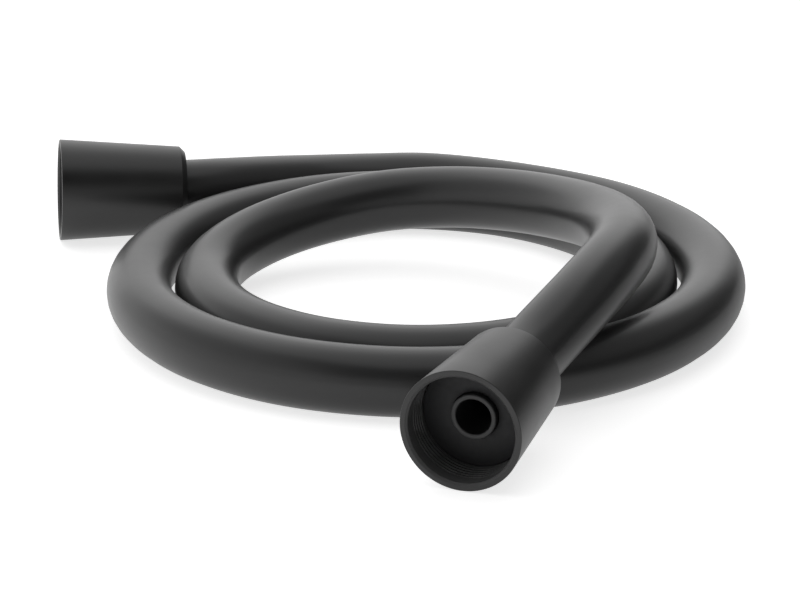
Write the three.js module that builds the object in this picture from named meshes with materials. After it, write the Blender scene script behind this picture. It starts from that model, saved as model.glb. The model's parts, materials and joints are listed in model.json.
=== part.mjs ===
import * as THREE from 'three';

// Shower hose lying in a loose coil, with a conical nut that spins on each end. Millimetres, +Z up.
// The floor is z = 0 and the origin is under the middle of the coil's footprint.

// Hose
const hoseDiameter = 14;
const hoseBore = 8;
const hoseSides = 12;
const boreSides = 8;
const hoseSteps = 76;

// Coil: a flat spiral, wound inwards and clockwise from its back
const coilCentre = { x: 5.6, y: 16.3 };
const coilHalfWidth = 69.9;
const coilHalfDepth = 81.4;
const turnStep = 14.75;
const coilTurns = 1.75;
const pointsPerTurn = 16;

// Conical nut, measured along its axis from the mouth
const nutLength = 29.4;
const nutMouthDiameter = 23.8;
const nutRearDiameter = 20.2;
const nutEdge = 0.4;
const nutShoulder = 1.4;
const shoulderSteps = 3;
const threadDiameter = 20.96;
const threadMouthDiameter = 21.8;
const seatDepth = 8.5;
const webThickness = 2.8;

// Washer, nipple and sleeve
const washerThickness = 2;
const flangeThickness = 2.2;
const lipHeight = 1.4;
const lipWall = 0.7;
const neckWall = 1.5;
const nippleBore = 5.4;
const nippleMouthBore = 7.6;
const tailLead = 1;
const barbCount = 4;
const barbHeight = 0.25;
const barbPitch = 3;
const barbStep = 0.2;
const barbGap = 0.4;
const sleeveWall = 0.5;
const sleeveLength = 9.5;
const sleeveCollarThickness = 0.8;

// Clearances
const touch = 0.3;
const runningGap = 0.35;
const hoseFit = 0.25;

// Depths behind the nut's mouth, each taken from the piece before it
const washerBack = seatDepth + washerThickness;
const flangeFront = washerBack + touch;
const flangeBack = flangeFront + flangeThickness;
const webFront = flangeBack + touch;
const webBack = webFront + webThickness;
const sleeveFront = webBack + touch;
const hoseEnd = sleeveFront + sleeveCollarThickness + touch;
const lipFront = seatDepth - lipHeight;

// Radii that follow from the fits
const hoseRadius = hoseDiameter / 2;
const threadRadius = threadDiameter / 2;
const lipRadius = nippleMouthBore / 2 + lipWall;
const neckRadius = nippleBore / 2 + neckWall;
const tailRadius = hoseBore / 2 - touch - barbHeight;
const washerRadius = threadRadius - runningGap;
const sleeveInner = hoseRadius + hoseFit;
const sleeveRadius = sleeveInner + sleeveWall;
const webHole = neckRadius + runningGap;
const rearHole = sleeveRadius + runningGap;

// Free ends of the hose beside the coil, as points on its centreline measured from the coil's middle
const farEndPoints = [
  [-65.15, 59.85, 11.3], [-53.7, 61.6, 10.9], [-45.7, 64.4, 10.6], [-33, 72.4, 9.2],
  [-21.6, 78.9, 7.9], [-9.2, 82.6, 7.3], [4.5, 82.6, 7.4],
];
const nearEndPoints = [
  [-40.7, 13.9, 8.2], [-32.4, 25.4, 10.2], [-20.3, 33, 12.5], [-6, 35.5, 14.9],
  [8.7, 32.3, 16.7], [22.4, 23.1, 18.4], [34.2, 8.6, 20.2], [41.5, -8, 22.1],
  [44.3, -25.5, 23.8], [43, -43.1, 24.9], [39.1, -56.4, 24.5], [35, -65.4, 22.9],
  [31.1, -71.9, 20.8], [23.7, -82.3, 16.2], [21.2, -86.6, 14.8], [19.1, -91.1, 13.9], [15, -101.9, 13.1],
];

const hoseBlack = new THREE.MeshStandardMaterial({ color: 0x2b2b2c, roughness: 0.42, metalness: 0 });
const nutBlack = new THREE.MeshStandardMaterial({ color: 0x232324, roughness: 0.45, metalness: 0.1 });
const nippleBlack = new THREE.MeshStandardMaterial({ color: 0x1c1c1d, roughness: 0.4, metalness: 0.1 });
const washerRubber = new THREE.MeshStandardMaterial({ color: 0x111112, roughness: 0.8, metalness: 0 });
const sleeveSteel = new THREE.MeshStandardMaterial({ color: 0x9b9c9e, roughness: 0.3, metalness: 1 });

function toRoutePoint([x, y, z]) {
  return new THREE.Vector3(coilCentre.x + x, coilCentre.y + y, z);
}

// The far end's last point stands where the coil would start
function coilPoints() {
  const points = [];
  for (let k = 1; k <= Math.round(coilTurns * pointsPerTurn); k += 1) {
    const turn = k / pointsPerTurn;
    const angle = 2 * Math.PI * turn;
    const inset = turnStep * turn;
    points.push(toRoutePoint([
      (coilHalfWidth - inset) * Math.sin(angle),
      (coilHalfDepth - inset) * Math.cos(angle),
      hoseRadius,
    ]));
  }
  return points;
}

const route = [...farEndPoints.map(toRoutePoint), ...coilPoints(), ...nearEndPoints.map(toRoutePoint)];

function ringOfSides(radius, sides, Kind) {
  const corners = [];
  for (let k = 0; k < sides; k += 1) {
    const angle = (2 * Math.PI * (k + 0.5)) / sides;
    corners.push(new THREE.Vector2(radius * Math.cos(angle), radius * Math.sin(angle)));
  }
  return new Kind(corners);
}

function makeHose() {
  const section = ringOfSides(hoseRadius, hoseSides, THREE.Shape);
  const boreCorner = hoseBore / 2 / Math.cos(Math.PI / boreSides);
  section.holes.push(ringOfSides(boreCorner, boreSides, THREE.Path));
  const path = new THREE.CatmullRomCurve3(route);
  path.arcLengthDivisions = 2000;
  const tube = new THREE.ExtrudeGeometry(section, { steps: hoseSteps, extrudePath: path });
  const hose = new THREE.Mesh(tube, hoseBlack);
  hose.name = 'hose';
  return hose;
}

// A turned piece: its profile is [radius, depth behind the mouth] and closes on itself
function turned(profile, segments) {
  const outline = profile.map(([radius, depth]) => new THREE.Vector2(radius, depth));
  outline.push(outline[0].clone());
  return new THREE.LatheGeometry(outline, segments);
}

function nutProfile() {
  const mouth = nutMouthDiameter / 2;
  const rear = nutRearDiameter / 2;
  const taper = (mouth - rear) / nutLength;
  const shoulderDepth = nutLength - nutShoulder;
  const shoulderRadius = mouth - taper * shoulderDepth - nutShoulder;
  const shoulder = [];
  for (let k = 0; k <= shoulderSteps; k += 1) {
    const angle = (Math.PI / 2) * (k / shoulderSteps);
    shoulder.push([
      shoulderRadius + nutShoulder * Math.cos(angle),
      shoulderDepth + nutShoulder * Math.sin(angle),
    ]);
  }
  return [
    [threadMouthDiameter / 2, 0],
    [mouth - nutEdge, 0],
    [mouth - taper * nutEdge, nutEdge],
    ...shoulder,
    [rearHole, nutLength],
    [rearHole, webBack],
    [webHole, webBack],
    [webHole, webFront],
    [threadRadius, webFront],
    [threadRadius, threadMouthDiameter / 2 - threadRadius],
  ];
}

function nippleProfile() {
  const bore = nippleBore / 2;
  const mouthBore = nippleMouthBore / 2;
  const flangeRadius = washerRadius - runningGap;
  const tailStart = sleeveFront + sleeveCollarThickness;
  const profile = [
    [mouthBore, lipFront],
    [lipRadius, lipFront],
    [lipRadius, flangeFront],
    [flangeRadius, flangeFront],
    [flangeRadius, flangeBack],
    [neckRadius, flangeBack],
    [neckRadius, tailStart],
    [tailRadius, tailStart],
  ];
  for (let k = 0; k < barbCount; k += 1) {
    const start = tailStart + tailLead + k * barbPitch;
    profile.push([tailRadius, start]);
    profile.push([tailRadius + barbHeight, start + barbStep]);
    profile.push([tailRadius, start + barbPitch - barbGap]);
  }
  const tailEnd = tailStart + tailLead + barbCount * barbPitch;
  profile.push([tailRadius, tailEnd], [bore, tailEnd], [bore, flangeBack]);
  return profile;
}

function washerProfile() {
  return [
    [lipRadius + touch, seatDepth],
    [washerRadius, seatDepth],
    [washerRadius, washerBack],
    [lipRadius + touch, washerBack],
  ];
}

function sleeveProfile() {
  return [
    [neckRadius + touch, sleeveFront],
    [sleeveRadius, sleeveFront],
    [sleeveRadius, sleeveFront + sleeveLength],
    [sleeveInner, sleeveFront + sleeveLength],
    [sleeveInner, sleeveFront + sleeveCollarThickness],
    [neckRadius + touch, sleeveFront + sleeveCollarThickness],
  ];
}

// One end of the hose: nut, washer, nipple and sleeve on the line through its last two points
function makeEnd(side, last, beforeLast) {
  const intoHose = beforeLast.clone().sub(last).normalize();
  const end = new THREE.Group();
  end.position.copy(last).addScaledVector(intoHose, -hoseEnd);
  end.quaternion.setFromUnitVectors(new THREE.Vector3(0, 1, 0), intoHose);
  const pieces = [
    ['nut', turned(nutProfile(), 40), nutBlack],
    ['washer', turned(washerProfile(), 32), washerRubber],
    ['nipple', turned(nippleProfile(), 24), nippleBlack],
    ['sleeve', turned(sleeveProfile(), 32), sleeveSteel],
  ];
  for (const [piece, geometry, material] of pieces) {
    const mesh = new THREE.Mesh(geometry, material);
    mesh.name = `${side}_${piece}`;
    end.add(mesh);
  }
  return end;
}

const showerHose = new THREE.Group();
showerHose.add(makeHose());
showerHose.add(makeEnd('far', route[0], route[1]));
showerHose.add(makeEnd('near', route[route.length - 1], route[route.length - 2]));

export default showerHose;
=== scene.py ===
import json
import math

import bpy
from mathutils import Matrix, Vector


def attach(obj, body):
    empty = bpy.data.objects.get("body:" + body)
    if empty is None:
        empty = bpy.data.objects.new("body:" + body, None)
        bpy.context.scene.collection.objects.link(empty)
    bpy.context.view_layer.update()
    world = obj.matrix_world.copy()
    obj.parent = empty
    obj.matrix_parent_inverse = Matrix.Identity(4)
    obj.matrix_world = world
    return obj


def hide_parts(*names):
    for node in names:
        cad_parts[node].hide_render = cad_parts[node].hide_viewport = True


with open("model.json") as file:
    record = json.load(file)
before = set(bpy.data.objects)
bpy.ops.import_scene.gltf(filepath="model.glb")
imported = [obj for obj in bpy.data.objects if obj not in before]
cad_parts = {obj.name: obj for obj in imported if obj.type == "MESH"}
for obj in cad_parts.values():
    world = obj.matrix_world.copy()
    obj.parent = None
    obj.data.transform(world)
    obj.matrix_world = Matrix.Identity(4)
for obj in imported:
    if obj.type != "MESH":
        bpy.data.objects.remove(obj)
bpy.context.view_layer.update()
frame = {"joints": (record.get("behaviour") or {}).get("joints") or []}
mm = 0.001

# Where the photograph was taken from, in the part's frame
viewpoint = dict(
    place=(0.0034, -0.6518, 0.2006),
    lookDown=16.57,  # degrees below level
    focalLength=142.9,  # millimetres, as is the sensor's width
    sensorWidth=36,
    nearestSeen=0.01,
)

# The same route as the solid hose, from inside the far nut to inside the near one
hose = dict(
    diameter=14 * mm,
    bore=8 * mm,
    coilCentre=(5.6 * mm, 16.3 * mm),
    coilHalfWidth=69.9 * mm,
    coilHalfDepth=81.4 * mm,
    turnStep=14.75 * mm,
    coilTurns=1.75,
    pointsPerTurn=16,
    farEndPoints=[
        (-65.15, 59.85, 11.3), (-53.7, 61.6, 10.9), (-45.7, 64.4, 10.6), (-33, 72.4, 9.2),
        (-21.6, 78.9, 7.9), (-9.2, 82.6, 7.3), (4.5, 82.6, 7.4),
    ],
    nearEndPoints=[
        (-40.7, 13.9, 8.2), (-32.4, 25.4, 10.2), (-20.3, 33, 12.5), (-6, 35.5, 14.9),
        (8.7, 32.3, 16.7), (22.4, 23.1, 18.4), (34.2, 8.6, 20.2), (41.5, -8, 22.1),
        (44.3, -25.5, 23.8), (43, -43.1, 24.9), (39.1, -56.4, 24.5), (35, -65.4, 22.9),
        (31.1, -71.9, 20.8), (23.7, -82.3, 16.2), (21.2, -86.6, 14.8), (19.1, -91.1, 13.9),
        (15, -101.9, 13.1),
    ],
    stepsPerPoint=12,
    cornersRound=14,  # gives 32 sides
    smoothAngle=40,  # degrees
)

# What all the turned pieces share
turned = dict(
    mergeDistance=0.002 * mm,
    smoothAngle=32,  # degrees
)

# Depths run into the nut from its mouth
nut = dict(
    sides=120,
    length=29.4 * mm,
    mouth=11.9 * mm,
    rear=10.1 * mm,
    mouthEdge=0.15 * mm,
    mouthSteps=5,
    chamfer=0.45 * mm,  # on the thread's side of the mouth
    shoulder=1.2 * mm,
    bore=10.48 * mm,
    leadIn=2.6 * mm,
    threadEnd=8.4 * mm,
    threadPitch=1 * mm,
    threadDepth=0.42 * mm,
    ringsPerPitch=12,
    grooveSteepness=3,
    grooveShift=1.8,  # a larger one makes the grooves narrower
    fadePitches=0.5,  # over which a groove starts and ends
    boreReach=0.05 * mm,  # how far from the bore a point still belongs to it
    webFront=13.3 * mm,
    webBack=16.1 * mm,
    webHole=4.55 * mm,
    rearHole=8.1 * mm,
    rearEdge=0.3 * mm,
    rearSteps=4,
)

nipple = dict(
    sides=80,
    lipFront=7.1 * mm,
    lip=4.45 * mm,
    lipBore=3.5 * mm,
    lipEdge=0.3 * mm,
    lipSteps=5,
    flangeFront=10.8 * mm,
    flangeBack=13 * mm,
    flange=9.78 * mm,
    neck=4.2 * mm,
    tailStart=17.2 * mm,
    tail=3.45 * mm,
    tailLead=1 * mm,
    barbs=4,
    barbPitch=3 * mm,
    barbHeight=0.25 * mm,
    barbStep=0.2 * mm,
    barbGap=0.4 * mm,
    bore=2.7 * mm,
)

washer = dict(
    sides=96,
    front=8.5 * mm,
    back=10.5 * mm,
    hole=4.52 * mm,
    outside=10.38 * mm,
    edge=0.12 * mm,
    edgeSteps=4,
)

sleeve = dict(
    sides=80,
    front=16.4 * mm,
    collar=0.8 * mm,
    length=9.5 * mm,
    hole=4.5 * mm,
    inside=7.25 * mm,
    outside=7.75 * mm,
    lip=0.15 * mm,
    lipSteps=3,
)


def deselectAll():
    if bpy.context.object and bpy.context.object.mode != 'OBJECT':
        bpy.ops.object.mode_set(mode='OBJECT')
    bpy.ops.object.select_all(action='DESELECT')


def makeCamera():
    deselectAll()
    tilt = math.radians(90 - viewpoint['lookDown'])
    bpy.ops.object.camera_add(location=viewpoint['place'], rotation=(tilt, 0, 0))
    camera = bpy.context.object
    camera.name = 'photoCamera'
    camera.data.lens = viewpoint['focalLength']
    camera.data.sensor_width = viewpoint['sensorWidth']
    camera.data.clip_start = viewpoint['nearestSeen']
    bpy.context.scene.camera = camera


def hoseRoute():
    centreX, centreY = hose['coilCentre']
    places = [Vector(point) * mm for point in hose['farEndPoints']]
    for k in range(1, round(hose['coilTurns'] * hose['pointsPerTurn']) + 1):
        turn = k / hose['pointsPerTurn']
        angle = 2 * math.pi * turn
        inset = hose['turnStep'] * turn
        places.append(Vector((
            (hose['coilHalfWidth'] - inset) * math.sin(angle),
            (hose['coilHalfDepth'] - inset) * math.cos(angle),
            hose['diameter'] / 2,
        )))
    places += [Vector(point) * mm for point in hose['nearEndPoints']]
    return [place + Vector((centreX, centreY, 0)) for place in places]


# Slopes of a curve through p1 and p2 that speeds up with the root of the distance between its points
def slopes(p0, p1, p2, p3):
    d0, d1, d2 = (math.sqrt((b - a).length) for a, b in ((p0, p1), (p1, p2), (p2, p3)))
    leaving = ((p1 - p0) / d0 - (p2 - p0) / (d0 + d1) + (p2 - p1) / d1) * d1
    arriving = ((p2 - p1) / d1 - (p3 - p1) / (d1 + d2) + (p3 - p2) / d2) * d1
    return leaving, arriving


def makeHose():
    route = hoseRoute()
    before = 2 * route[0] - route[1]
    after = 2 * route[-1] - route[-2]
    padded = [before] + route + [after]
    path = bpy.data.curves.new('hosePath', 'CURVE')
    path.dimensions = '3D'
    path.twist_mode = 'MINIMUM'
    path.bevel_depth = hose['diameter'] / 2
    path.bevel_resolution = hose['cornersRound']
    path.resolution_u = hose['stepsPerPoint']
    spline = path.splines.new('BEZIER')
    spline.bezier_points.add(len(route) - 1)
    for point, place in zip(spline.bezier_points, route):
        point.handle_left_type = point.handle_right_type = 'FREE'
        point.co = point.handle_left = point.handle_right = place
    centreline = []
    for k in range(len(route) - 1):
        start, end = route[k], route[k + 1]
        leaving, arriving = slopes(*padded[k:k + 4])
        spline.bezier_points[k].handle_right = start + leaving / 3
        spline.bezier_points[k + 1].handle_left = end - arriving / 3
        for step in range(hose['stepsPerPoint']):
            w = step / hose['stepsPerPoint']
            centreline.append(
                start + leaving * w
                + (3 * (end - start) - 2 * leaving - arriving) * w ** 2
                + (2 * (start - end) + leaving + arriving) * w ** 3
            )
    centreline.append(route[-1])
    tube = bpy.data.objects.new('hoseTube', path)
    bpy.context.scene.collection.objects.link(tube)
    deselectAll()
    tube.select_set(True)
    bpy.context.view_layer.objects.active = tube
    bpy.ops.object.convert(target='MESH')
    tube = bpy.context.object
    wall = tube.modifiers.new('wall', 'SOLIDIFY')
    wall.thickness = (hose['diameter'] - hose['bore']) / 2
    wall.offset = -1
    bpy.ops.object.modifier_apply(modifier=wall.name)
    bpy.ops.object.shade_smooth_by_angle(angle=math.radians(hose['smoothAngle']))
    return tube, centreline


# Points of a rounded edge of the given size, between two angles in degrees
def arc(radius, depth, size, start, end, steps):
    points = []
    for k in range(steps + 1):
        angle = math.radians(start + (end - start) * k / steps)
        points.append((radius + size * math.cos(angle), depth + size * math.sin(angle)))
    return points


# A closed outline of (radius, depth) pairs, drawn out ring by ring from a circle
def turnPiece(name, outline, sides):
    deselectAll()
    radius, depth = outline[0]
    bpy.ops.mesh.primitive_circle_add(vertices=sides, radius=radius, location=(0, 0, -depth))
    piece = bpy.context.object
    piece.name = piece.data.name = name
    bpy.ops.object.transform_apply(location=True, rotation=False, scale=False)
    bpy.ops.object.mode_set(mode='EDIT')
    bpy.ops.mesh.select_all(action='SELECT')
    for nextRadius, nextDepth in outline[1:] + outline[:1]:
        bpy.ops.mesh.extrude_region_move(TRANSFORM_OT_translate={'value': (0, 0, depth - nextDepth)})
        share = nextRadius / radius
        bpy.ops.transform.resize(value=(share, share, 1), center_override=(0, 0, 0))
        radius, depth = nextRadius, nextDepth
    bpy.ops.mesh.select_all(action='SELECT')
    bpy.ops.mesh.remove_doubles(threshold=turned['mergeDistance'])
    bpy.ops.mesh.normals_make_consistent(inside=False)
    bpy.ops.object.mode_set(mode='OBJECT')
    return piece


# Moves a turned piece onto its nut's axis, with depth 0 at the mouth
def finishPiece(piece, joint):
    outward = Vector(joint['axis'])
    place = Matrix.Translation(joint['pos_m']) @ outward.to_track_quat('Z', 'Y').to_matrix().to_4x4()
    deselectAll()
    piece.select_set(True)
    bpy.context.view_layer.objects.active = piece
    piece.matrix_world = place
    bpy.ops.object.transform_apply(location=True, rotation=True, scale=True)
    bpy.ops.object.shade_smooth_by_angle(angle=math.radians(turned['smoothAngle']))


def nutOutline():
    taper = (nut['mouth'] - nut['rear']) / nut['length']
    edge, chamfer = nut['mouthEdge'], nut['chamfer']
    shoulder, rearEdge = nut['shoulder'], nut['rearEdge']
    shoulderDepth = nut['length'] - shoulder
    shoulderRadius = nut['mouth'] - taper * shoulderDepth - shoulder
    outline = arc(nut['mouth'] - edge - taper * edge, edge, edge, -90, 0, nut['mouthSteps'])
    outline += [(shoulderRadius + shoulder, shoulderDepth), (shoulderRadius, nut['length'])]
    outline += arc(
        nut['rearHole'] + rearEdge, nut['length'] - rearEdge, rearEdge, 90, 180, nut['rearSteps'],
    )
    outline += [
        (nut['rearHole'], nut['webBack']),
        (nut['webHole'], nut['webBack']),
        (nut['webHole'], nut['webFront']),
        (nut['bore'], nut['webFront']),
    ]
    rings = round((nut['threadEnd'] - nut['leadIn']) / nut['threadPitch'] * nut['ringsPerPitch'])
    for k in range(rings + 1):
        share = k / rings
        outline.append((nut['bore'], nut['threadEnd'] + (nut['leadIn'] - nut['threadEnd']) * share))
    outline += [(nut['bore'], chamfer), (nut['bore'] + chamfer, 0)]
    return outline


# Presses a spiral groove outwards into the bore of a nut that still stands upright
def cutThread(piece):
    for point in piece.data.vertices:
        radius = math.hypot(point.co.x, point.co.y)
        depth = -point.co.z
        onBore = abs(radius - nut['bore']) < nut['boreReach']
        if not (onBore and nut['leadIn'] < depth < nut['threadEnd']):
            continue
        turn = math.atan2(point.co.y, point.co.x) / (2 * math.pi)
        swing = math.cos(2 * math.pi * (depth / nut['threadPitch'] + turn))
        wave = nut['grooveSteepness'] * swing - nut['grooveShift']
        fromEnds = min(depth - nut['leadIn'], nut['threadEnd'] - depth)
        fade = min(1, fromEnds / (nut['fadePitches'] * nut['threadPitch']))
        share = 1 + nut['threadDepth'] * min(1, max(0, wave)) * fade / radius
        point.co.x *= share
        point.co.y *= share


def makeNut(side, joint):
    piece = turnPiece(side + 'Nut', nutOutline(), nut['sides'])
    cutThread(piece)
    finishPiece(piece, joint)
    return piece


# Gives the faces between two radii, down to a depth behind the mouth, the piece's second material:
# the paler coat that paints light into the socket
def paintLightIntoSocket(piece, joint, smallest, largest, deepest):
    mouthMiddle, outward = Vector(joint['pos_m']), Vector(joint['axis'])
    for face in piece.data.polygons:
        fromMouth = face.center - mouthMiddle
        depth = -fromMouth.dot(outward)
        radius = (fromMouth + outward * depth).length
        face.material_index = 1 if smallest < radius < largest and depth < deepest else 0


def nippleOutline():
    lip, lipBore = nipple['lip'], nipple['lipBore']
    lipEdge, steps = nipple['lipEdge'], nipple['lipSteps']
    outline = arc(lipBore + lipEdge, nipple['lipFront'] + lipEdge, lipEdge, -180, -90, steps)
    outline += arc(lip - lipEdge, nipple['lipFront'] + lipEdge, lipEdge, -90, 0, steps)
    outline += [
        (lip, nipple['flangeFront']),
        (nipple['flange'], nipple['flangeFront']),
        (nipple['flange'], nipple['flangeBack']),
        (nipple['neck'], nipple['flangeBack']),
        (nipple['neck'], nipple['tailStart']),
        (nipple['tail'], nipple['tailStart']),
    ]
    for k in range(nipple['barbs']):
        start = nipple['tailStart'] + nipple['tailLead'] + k * nipple['barbPitch']
        outline += [
            (nipple['tail'], start),
            (nipple['tail'] + nipple['barbHeight'], start + nipple['barbStep']),
            (nipple['tail'], start + nipple['barbPitch'] - nipple['barbGap']),
        ]
    tailEnd = nipple['tailStart'] + nipple['tailLead'] + nipple['barbs'] * nipple['barbPitch']
    outline += [
        (nipple['tail'], tailEnd),
        (nipple['bore'], tailEnd),
        (nipple['bore'], nipple['flangeBack']),
    ]
    return outline


def makeNipple(side, joint):
    piece = turnPiece(side + 'Nipple', nippleOutline(), nipple['sides'])
    finishPiece(piece, joint)
    return piece


def makeWasher(side, joint):
    hole, outside, edge = washer['hole'], washer['outside'], washer['edge']
    front, back, steps = washer['front'], washer['back'], washer['edgeSteps']
    outline = arc(hole + edge, front + edge, edge, 180, 270, steps)
    outline += arc(outside - edge, front + edge, edge, 270, 360, steps)
    outline += arc(outside - edge, back - edge, edge, 0, 90, steps)
    outline += arc(hole + edge, back - edge, edge, 90, 180, steps)
    piece = turnPiece(side + 'Washer', outline, washer['sides'])
    finishPiece(piece, joint)
    return piece


def makeSleeve(side, joint):
    front, inside, outside = sleeve['front'], sleeve['inside'], sleeve['outside']
    lip, steps = sleeve['lip'], sleeve['lipSteps']
    collarBack = front + sleeve['collar']
    back = front + sleeve['length']
    outline = [(sleeve['hole'], front)]
    outline += arc(outside - lip, front + lip, lip, 270, 360, steps)
    outline += arc(outside - lip, back - lip, lip, 0, 90, steps)
    outline += [(inside, back), (inside, collarBack), (sleeve['hole'], collarBack)]
    piece = turnPiece(side + 'Sleeve', outline, sleeve['sides'])
    finishPiece(piece, joint)
    return piece


# A socket that can stand in a Python sum
class Value:
    def __init__(self, tree, socket):
        self.tree = tree
        self.socket = socket

    def maths(self, operation, first, second):
        return addNode(self.tree, 'ShaderNodeMath', {'operation': operation}, {0: first, 1: second})

    def __add__(self, other):
        return self.maths('ADD', self, other)

    def __radd__(self, other):
        return self.maths('ADD', other, self)

    def __sub__(self, other):
        return self.maths('SUBTRACT', self, other)

    def __rsub__(self, other):
        return self.maths('SUBTRACT', other, self)

    def __mul__(self, other):
        return self.maths('MULTIPLY', self, other)

    def __rmul__(self, other):
        return self.maths('MULTIPLY', other, self)


# Settings are set before the sockets, because some of them change which sockets there are
def addNode(tree, kind, settings=None, sockets=None, output=0):
    node = tree.nodes.new(kind)
    for key, setting in (settings or {}).items():
        setattr(node, key, setting)
    for key, value in (sockets or {}).items():
        if isinstance(value, Value):
            tree.links.new(value.socket, node.inputs[key])
        else:
            node.inputs[key].default_value = value
    return Value(tree, node.outputs[output])


def newMaterial(name):
    material = bpy.data.materials.new(name)
    material.use_nodes = True
    material.node_tree.nodes.clear()
    return material, material.node_tree


def grey(level, blue=1.0):
    return (level, level, level * blue, 1)


def mixColours(tree, share, first, second):
    settings = {'data_type': 'RGBA'}
    return addNode(tree, 'ShaderNodeMix', settings, {0: share, 6: first, 7: second}, 2)


def noise(tree, place, scale, detail, roughness=0.5):
    return addNode(tree, 'ShaderNodeTexNoise', None, {
        'Vector': place, 'Scale': scale, 'Detail': detail, 'Roughness': roughness,
    })


def objectPlace(tree):
    return addNode(tree, 'ShaderNodeTexCoord', None, None, 3)


def bump(tree, height, distance):
    return addNode(tree, 'ShaderNodeBump', None, {
        'Height': height, 'Distance': distance, 'Strength': 1.0,
    })


# The roughness around its middle value, where the share runs from 0 to 1
def spread(look, share):
    return look['roughness'] + (share - 0.5) * look['roughnessSpread'] * 2


def setOutput(tree, shader):
    output = tree.nodes.new('ShaderNodeOutputMaterial')
    tree.links.new(shader.socket, output.inputs['Surface'])


# Dark and light are the ends of a surface's colour, and blue tints it
vinyl = dict(
    dark=0.016,
    light=0.023,
    blue=1.02,
    roughness=0.38,
    roughnessSpread=0.06,
    ior=1.5,
    shine=0.42,
    skin=0.2,
    skinRoughness=0.18,
    grain=0.003 * mm,
    grainScale=2600,
    cloudScale=38,
    rubScale=260,
    rubShare=0.4,
)

coat = dict(
    dark=0.012,
    light=0.018,
    roughness=0.36,
    roughnessSpread=0.08,
    ior=1.55,
    grain=0.004 * mm,
    grainScale=1500,
    cloudScale=90,
)

# A paler copy of the coat, painted light: inside the socket, on the thread and on the nipple's ring
# it stands in for light falling into the recess
paintedLightCoat = dict(
    dark=0.07,
    light=0.085,
    roughness=0.5,
    roughnessSpread=0.08,
    ior=1.4,
    grain=0.005 * mm,
    grainScale=1500,
    cloudScale=90,
)

seal = dict(
    dark=0.005,
    light=0.008,
    blue=1.15,
    roughness=0.62,
    roughnessSpread=0.15,
    ior=1.5,
    grain=0.012 * mm,
    grainScale=900,
)

steel = dict(
    dark=0.30,
    light=0.42,
    blue=1.02,
    roughness=0.28,
    roughnessSpread=0.14,
    grain=0.003 * mm,
    grainScale=1400,
)


# Satin black hose: a soft cloudiness, a fine moulded grain and faint rubbed marks
def makeVinyl():
    material, tree = newMaterial('satinVinyl')
    place = objectPlace(tree)
    clouds = noise(tree, place, vinyl['cloudScale'], 3.0)
    grain = noise(tree, place, vinyl['grainScale'], 1.5)
    rub = noise(tree, place, vinyl['rubScale'], 4.0, 0.6)
    share = clouds * (1 - vinyl['rubShare']) + rub * vinyl['rubShare']
    colour = mixColours(tree, share, grey(vinyl['dark']), grey(vinyl['light'], vinyl['blue']))
    shader = addNode(tree, 'ShaderNodeBsdfPrincipled', None, {
        'Base Color': colour,
        'Roughness': spread(vinyl, share),
        'Normal': bump(tree, grain, vinyl['grain']),
        'IOR': vinyl['ior'],
        'Specular IOR Level': vinyl['shine'],
        'Coat Weight': vinyl['skin'],
        'Coat Roughness': vinyl['skinRoughness'],
    })
    setOutput(tree, shader)
    return material


# Matte black coating on brass: fine orange-peel grain
def makeCoat(name, look):
    material, tree = newMaterial(name)
    place = objectPlace(tree)
    peel = noise(tree, place, look['grainScale'], 3.0, 0.55)
    clouds = noise(tree, place, look['cloudScale'], 3.0)
    colour = mixColours(tree, clouds, grey(look['dark']), grey(look['light']))
    shader = addNode(tree, 'ShaderNodeBsdfPrincipled', None, {
        'Base Color': colour,
        'Roughness': spread(look, clouds),
        'Normal': bump(tree, peel, look['grain']),
        'IOR': look['ior'],
    })
    setOutput(tree, shader)
    return material


# Dull rubber of the washer
def makeSeal():
    material, tree = newMaterial('sealRubber')
    place = objectPlace(tree)
    specks = noise(tree, place, seal['grainScale'], 4.0, 0.65)
    dark, light = grey(seal['dark'], seal['blue']), grey(seal['light'], seal['blue'])
    shader = addNode(tree, 'ShaderNodeBsdfPrincipled', None, {
        'Base Color': mixColours(tree, specks, dark, light),
        'Roughness': spread(seal, specks),
        'Normal': bump(tree, specks, seal['grain']),
        'IOR': seal['ior'],
    })
    setOutput(tree, shader)
    return material


# Pressed steel of the sleeve
def makeSteel():
    material, tree = newMaterial('pressedSteel')
    place = objectPlace(tree)
    scratches = noise(tree, place, steel['grainScale'], 3.0, 0.6)
    colour = mixColours(tree, scratches, grey(steel['dark']), grey(steel['light'], steel['blue']))
    shader = addNode(tree, 'ShaderNodeBsdfPrincipled', None, {
        'Base Color': colour,
        'Metallic': 1.0,
        'Roughness': spread(steel, scratches),
        'Normal': bump(tree, scratches, steel['grain']),
    })
    setOutput(tree, shader)
    return material


def dress(piece, *materials):
    piece.data.materials.clear()
    for material in materials:
        piece.data.materials.append(material)


studio = dict(
    floorSize=6,
    floorColour=0.8,
    floorGlow=0.72,  # added where the camera sees the floor
    floorGloss=0.6,  # added where gloss sees it
    glossEdge=(0.03, 0.12),  # where that fades out to the right
)

# How bright the studio is on each side, and how far along an axis each side starts and is full
sky = dict(
    top=0.95,
    leftLow=0.95,
    leftHigh=0.65,
    rightLow=0.05,
    rightHigh=0.3,
    backLow=1.15,
    backHigh=1.36,
    frontLow=0.6,
    frontHigh=0.03,
    topEdge=(0.80, 0.95),
    highEdge=(0.25, 0.50),
    rightEdge=(0.22, 0.54),
    leftEdge=(0.40, 0.70),
    backEdge=(-0.1, 0.1),
)


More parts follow.
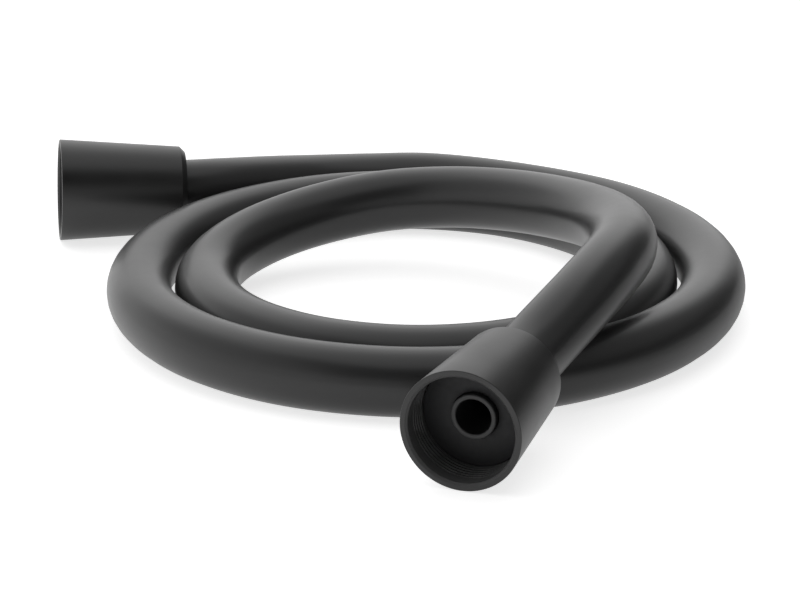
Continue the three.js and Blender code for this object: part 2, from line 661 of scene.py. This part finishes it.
def makeFloor():
    deselectAll()
    bpy.ops.mesh.primitive_plane_add(size=studio['floorSize'], location=(0, 0, 0))
    floor = bpy.context.object
    floor.name = 'floor'
    material, tree = newMaterial('paleFloor')
    isCamera = addNode(tree, 'ShaderNodeLightPath', None, None, 0)
    isGlossy = Value(tree, isCamera.socket.node.outputs['Is Glossy Ray'])
    isTransmission = Value(tree, isCamera.socket.node.outputs['Is Transmission Ray'])
    toRight = addNode(tree, 'ShaderNodeSeparateXYZ', None, {0: objectPlace(tree)}, 0)
    gloss = (1 - rise(tree, toRight, studio['glossEdge'])) * studio['floorGloss']
    seen = isCamera * studio['floorGlow'] + (isGlossy + isTransmission) * gloss
    paint = addNode(tree, 'ShaderNodeBsdfDiffuse', None, {'Color': grey(studio['floorColour'])})
    glow = addNode(tree, 'ShaderNodeEmission', None, {'Color': grey(1), 'Strength': seen})
    setOutput(tree, addNode(tree, 'ShaderNodeAddShader', None, {0: paint, 1: glow}))
    dress(floor, material)


# 0 up to the edge's start, 1 from its end on and smooth between
def rise(tree, value, edge):
    settings = {'interpolation_type': 'SMOOTHSTEP'}
    sockets = {'Value': value, 'From Min': edge[0], 'From Max': edge[1]}
    return addNode(tree, 'ShaderNodeMapRange', settings, sockets)


# A soft light tent: each side has its own brightness, and the camera sees plain white
def makeSky():
    world = bpy.data.worlds.new('sky')
    bpy.context.scene.world = world
    world.use_nodes = True
    tree = world.node_tree
    tree.nodes.clear()
    direction = addNode(tree, 'ShaderNodeTexCoord', None, None, 0)
    toRight = addNode(tree, 'ShaderNodeSeparateXYZ', None, {0: direction}, 0)
    toBack = Value(tree, toRight.socket.node.outputs['Y'])
    toTop = Value(tree, toRight.socket.node.outputs['Z'])
    top = rise(tree, toTop, sky['topEdge'])
    low = 1 - rise(tree, toTop, sky['highEdge'])
    high = 1 - top - low
    right = rise(tree, toRight, sky['rightEdge'])
    left = rise(tree, toRight * -1, sky['leftEdge'])
    middle = 1 - left - right
    back = middle * rise(tree, toBack, sky['backEdge'])
    front = middle - back
    light = top * sky['top']
    light = light + left * (low * sky['leftLow'] + high * sky['leftHigh'])
    light = light + right * (low * sky['rightLow'] + high * sky['rightHigh'])
    light = light + back * (low * sky['backLow'] + high * sky['backHigh'])
    light = light + front * (low * sky['frontLow'] + high * sky['frontHigh'])
    isCamera = addNode(tree, 'ShaderNodeLightPath', None, None, 0)
    strength = isCamera + (1 - isCamera) * light
    glow = addNode(tree, 'ShaderNodeBackground', None, {'Color': grey(1), 'Strength': strength})
    output = tree.nodes.new('ShaderNodeOutputWorld')
    tree.links.new(glow.socket, output.inputs['Surface'])


makeCamera()
tube, centreline = makeHose()
print('hose made,', len(tube.data.polygons), 'faces')

joints = {joint['name']: joint for joint in frame['joints']}
# The second coat is the paler copy, painted light for the socket's inside
coatFinish, paintedLightFinish = makeCoat('matteCoat', coat), makeCoat('paintedLightCoat', paintedLightCoat)
sealFinish, steelFinish = makeSeal(), makeSteel()
dress(tube, makeVinyl())
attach(tube, 'hose')
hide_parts('hose')

for side in ('far', 'near'):
    joint = joints[side + '_nut_spin']
    sideNut = makeNut(side, joint)
    sideNipple = makeNipple(side, joint)
    pieces = [
        (sideNut, side + '_nut', side + '_nut', 'nut', [coatFinish, paintedLightFinish]),
        (sideNipple, 'hose', side + '_nipple', 'nipple', [coatFinish, paintedLightFinish]),
        (makeWasher(side, joint), 'hose', side + '_washer', 'washer', [sealFinish]),
        (makeSleeve(side, joint), 'hose', side + '_sleeve', 'sleeve', [steelFinish]),
    ]
    for piece, body, node, slot, finishes in pieces:
        dress(piece, *finishes)
        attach(piece, body)
        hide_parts(node)
    # Painted light: the paler coat goes on the socket's inside and on the nipple's ring
    paintLightIntoSocket(sideNut, joint, 0, nut['bore'] + nut['chamfer'], nut['webFront'])
    paintLightIntoSocket(sideNipple, joint, nipple['lipBore'], nipple['flange'], washer['front'])
    print(side, 'end made')

makeFloor()
makeSky()
bpy.context.scene.view_settings.view_transform = 'Standard'
print('studio made')
